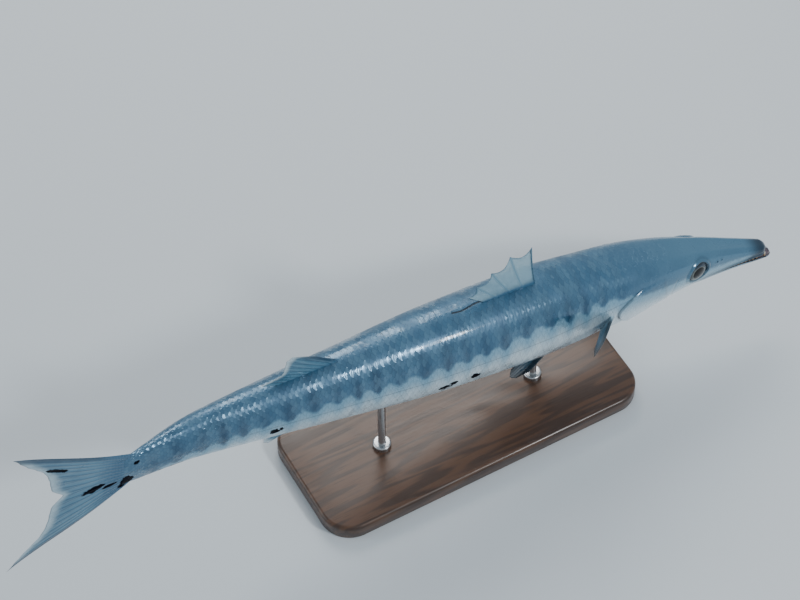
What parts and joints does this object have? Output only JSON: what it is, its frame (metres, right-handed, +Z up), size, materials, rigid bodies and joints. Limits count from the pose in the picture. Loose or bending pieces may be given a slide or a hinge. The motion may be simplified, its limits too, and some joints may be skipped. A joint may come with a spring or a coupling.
{
  "type": "life-size barracuda model",
  "caption": "Great barracuda in life size, gliding with its head low, on a display stand with a wooden base and steel rods",
  "frame": {"origin": "under the middle of the whole model, on the floor that the stand's base rests on", "axes": "+X runs from the tail to the head, +Y to the fish's left side, +Z up"},
  "size_m": [1.0766, 0.2107, 0.3872],
  "materials": {
    "fish_skin": "satin",
    "fin_membrane": "satin",
    "eye": "gloss",
    "stand_wood": "satin varnish",
    "stand_steel": "brushed"
  },
  "bodies": {
    "root": {"head": "fish_skin", "lower_jaw": "fish_skin", "gill_cover_left": "fish_skin", "gill_cover_right": "fish_skin", "trunk_front": "fish_skin", "trunk_middle": "fish_skin", "tail_stem": "fish_skin", "first_dorsal_fin": "fin_membrane", "second_dorsal_fin": "fin_membrane", "anal_fin": "fin_membrane", "pectoral_fin_left": "fin_membrane", "pectoral_fin_right": "fin_membrane", "pelvic_fin_left": "fin_membrane", "pelvic_fin_right": "fin_membrane", "caudal_fin_upper": "fin_membrane", "caudal_fin_lower": "fin_membrane", "eye_left": "eye", "eye_right": "eye", "stand_base": "stand_wood", "stand_rod_1": "stand_steel", "stand_rod_2": "stand_steel"}
  },
  "joints": []
}
